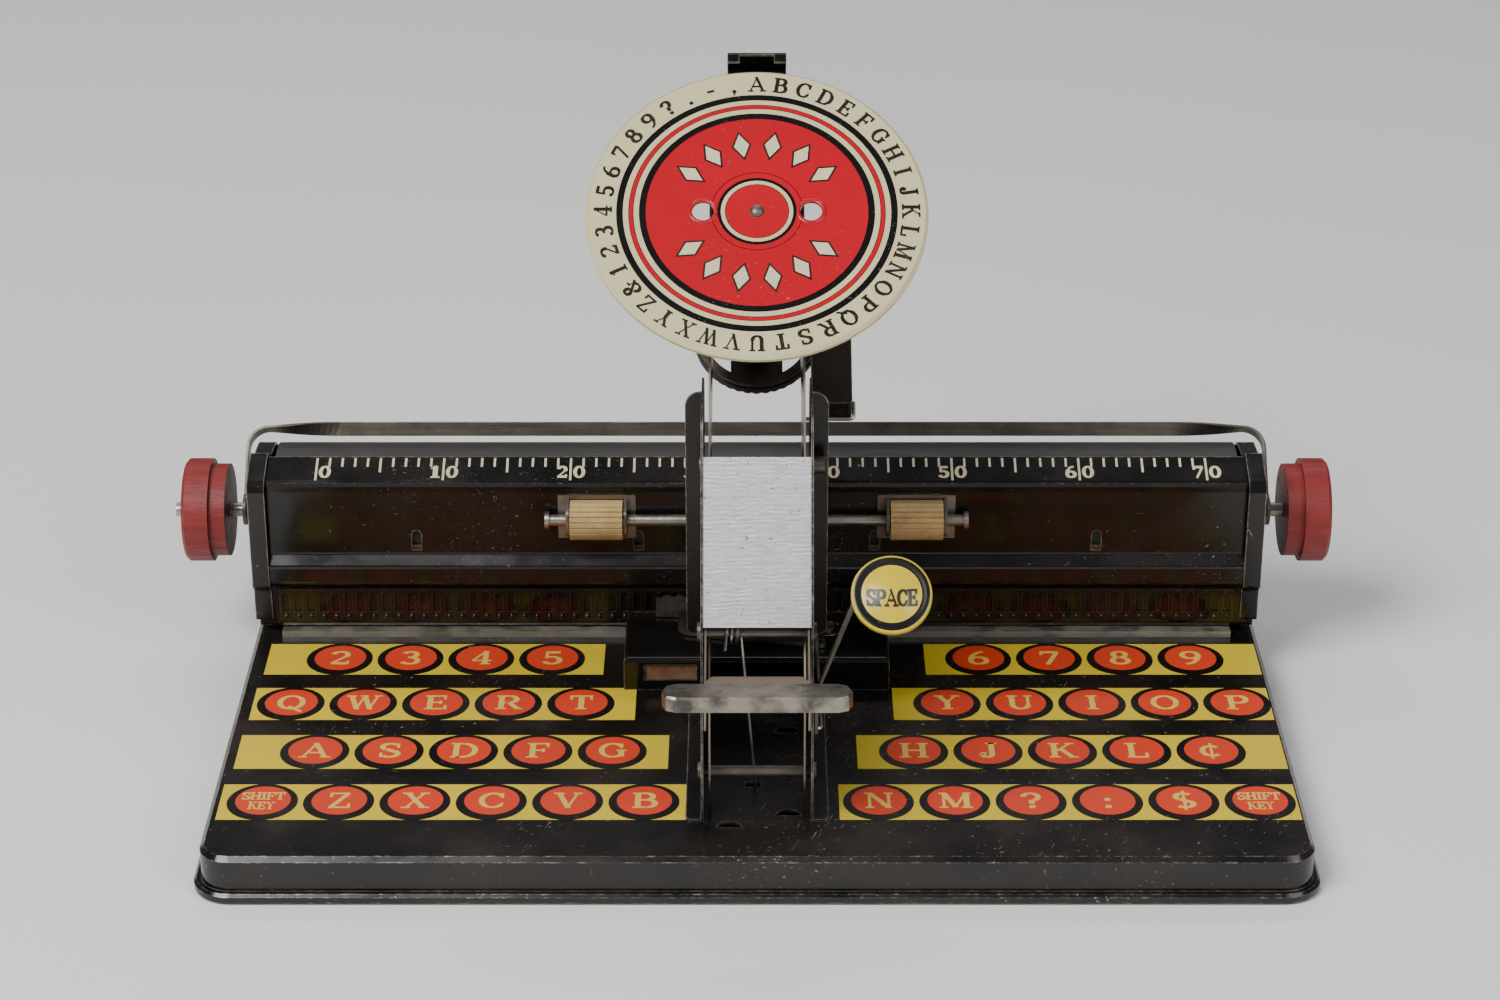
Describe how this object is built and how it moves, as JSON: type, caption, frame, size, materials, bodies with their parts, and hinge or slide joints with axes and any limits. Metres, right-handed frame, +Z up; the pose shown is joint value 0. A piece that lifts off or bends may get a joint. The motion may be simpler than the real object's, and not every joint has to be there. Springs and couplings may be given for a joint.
{
  "type": "index typewriter",
  "caption": "Toy index typewriter in folded tin: a turning character dial on a swinging head, print and space levers, and a sliding carriage with platen and paper bail.",
  "frame": {"origin": "centre of the base's bottom face, at table height", "axes": "+X to the right along the carriage, +Y from the front edge back towards the carriage, +Z up"},
  "size_m": [0.3243, 0.179, 0.1786],
  "materials": {
    "tin_black": "gloss black tin litho, lightly worn at the edges",
    "tin_base": "gloss black tin litho with printed key rows in yellow and orange-red",
    "tin_ink": "satin black tin",
    "steel_strip": "bare steel strip, dulled",
    "steel_wire": "drawn steel wire",
    "steel_pin": "dark steel pins and rivets",
    "steel_rusty": "rusty spring steel",
    "tin_bright": "bright tinplate with a fine wavy grain",
    "nickel": "worn nickel plating",
    "wood_red": "brick red painted wood",
    "roller_rubber": "tan moulded rubber with fine ribs",
    "platen_rubber": "black rubber cover",
    "wood_plain": "plain turned wood",
    "dial_print": "gloss ivory, red and black printed tin",
    "type_rubber": "black moulded rubber type",
    "felt": "inked felt",
    "cap_print": "gloss mustard yellow and black printed tin",
    "rack_paint": "black tin, worn on the notch edges"
  },
  "bodies": {
    "base": {"base_shell": "tin_base", "carriage_rail_front": "steel_strip", "carriage_rail_rear": "steel_strip", "carriage_guide": "tin_black", "guide_rivets": "steel_pin", "guide_leaf": "steel_rusty", "frame_left": "tin_black", "frame_right": "tin_black", "front_cover": "tin_bright", "arm_pivot_pin": "steel_pin", "lever_pivot_pin": "steel_pin", "stop_rod": "steel_pin", "return_spring": "steel_wire", "space_pivot_rivet": "steel_pin"},
    "carriage": {"carriage_hood": "tin_black", "carriage_rear": "tin_black", "carriage_end_left": "tin_black", "carriage_end_right": "tin_black", "rack_strip": "rack_paint", "paper_pan": "steel_strip", "feed_bracket_left": "steel_strip", "feed_bracket_right": "steel_strip", "bail_spring": "steel_wire"},
    "feed_rollers": {"feed_rod": "steel_wire", "feed_roller_left": "roller_rubber", "feed_roller_right": "roller_rubber"},
    "platen": {"platen_roller": "platen_rubber", "platen_end_plugs": "wood_plain", "platen_shaft": "steel_wire", "knob_left": "wood_red", "knob_right": "wood_red"},
    "bail": {"paper_bail": "nickel"},
    "head": {"arm_left_plate": "tin_black", "arm_right_plate": "tin_black", "arm_web": "steel_strip", "spindle_bearing_upper": "tin_black", "spindle_bearing_lower": "tin_black", "pointer": "tin_black", "ink_box": "tin_ink", "ink_felt": "felt", "ink_bracket": "tin_ink", "ink_clip": "steel_wire"},
    "dial": {"dial_disc": "dial_print", "dial_hub": "steel_pin", "spindle": "steel_wire", "type_wheel_core": "steel_pin", "type_ring": "type_rubber"},
    "print_lever": {"lever_channel": "tin_black", "print_handle": "nickel", "lever_link_pin": "steel_pin"},
    "space_key": {"space_lever": "steel_strip", "space_cap": "cap_print"},
    "link": {"space_link": "steel_wire"},
    "pawl": {"spacing_pawl": "steel_strip"}
  },
  "joints": [
    {"name": "carriage_slide", "type": "slide", "parent": "base", "child": "carriage", "axis": [1, 0, 0], "range_m": [-0.122, 0.122]},
    {"name": "platen_turn", "type": "hinge", "parent": "carriage", "child": "platen", "pos_m": [0, 0.054, 0.041], "axis": [1, 0, 0], "continuous": true},
    {"name": "feed_turn", "type": "hinge", "parent": "carriage", "child": "feed_rollers", "pos_m": [0, 0.03053, 0.049], "axis": [1, 0, 0], "continuous": true},
    {"name": "bail_swing", "type": "hinge", "parent": "carriage", "child": "bail", "pos_m": [0, 0.054, 0.041], "axis": [1, 0, 0], "range_deg": [-35, 15]},
    {"name": "head_swing", "type": "hinge", "parent": "base", "child": "head", "pos_m": [0, -0.0595, 0.0215], "axis": [1, 0, 0], "range_deg": [-15.75, 0], "stiffness_Nm_per_rad": 0.6, "springref_deg": 28.65},
    {"name": "lever_press", "type": "hinge", "parent": "base", "child": "print_lever", "pos_m": [0, -0.0535, 0.0585], "axis": [1, 0, 0], "range_deg": [0, 22]},
    {"name": "dial_spin", "type": "hinge", "parent": "head", "child": "dial", "pos_m": [0, 0.0075, 0.1483], "axis": [0, -0.5878, 0.809], "continuous": true},
    {"name": "space_press", "type": "hinge", "parent": "base", "child": "space_key", "pos_m": [0.015, -0.0605, 0.0435], "axis": [-1, 0, 0], "range_deg": [0, 13], "stiffness_Nm_per_rad": 0.1, "springref_deg": -17.19},
    {"name": "link_pull", "type": "slide", "parent": "base", "child": "link", "axis": [0, -0.9893, 0.1457], "range_m": [0, 0.00215]},
    {"name": "pawl_lift", "type": "hinge", "parent": "base", "child": "pawl", "pos_m": [-0.017, 0.0182, 0.0225], "axis": [0, 0, -1], "range_deg": [0, 3.59]}
  ],
  "couplings": [
    {"joint": "feed_turn", "follows": "platen_turn", "ratio": -3.4545},
    {"joint": "lever_press", "follows": "head_swing", "ratio": -1.3965},
    {"joint": "link_pull", "follows": "space_press", "m_per_rad": 0.009019},
    {"joint": "pawl_lift", "follows": "space_press", "ratio": 0.26876}
  ]
}
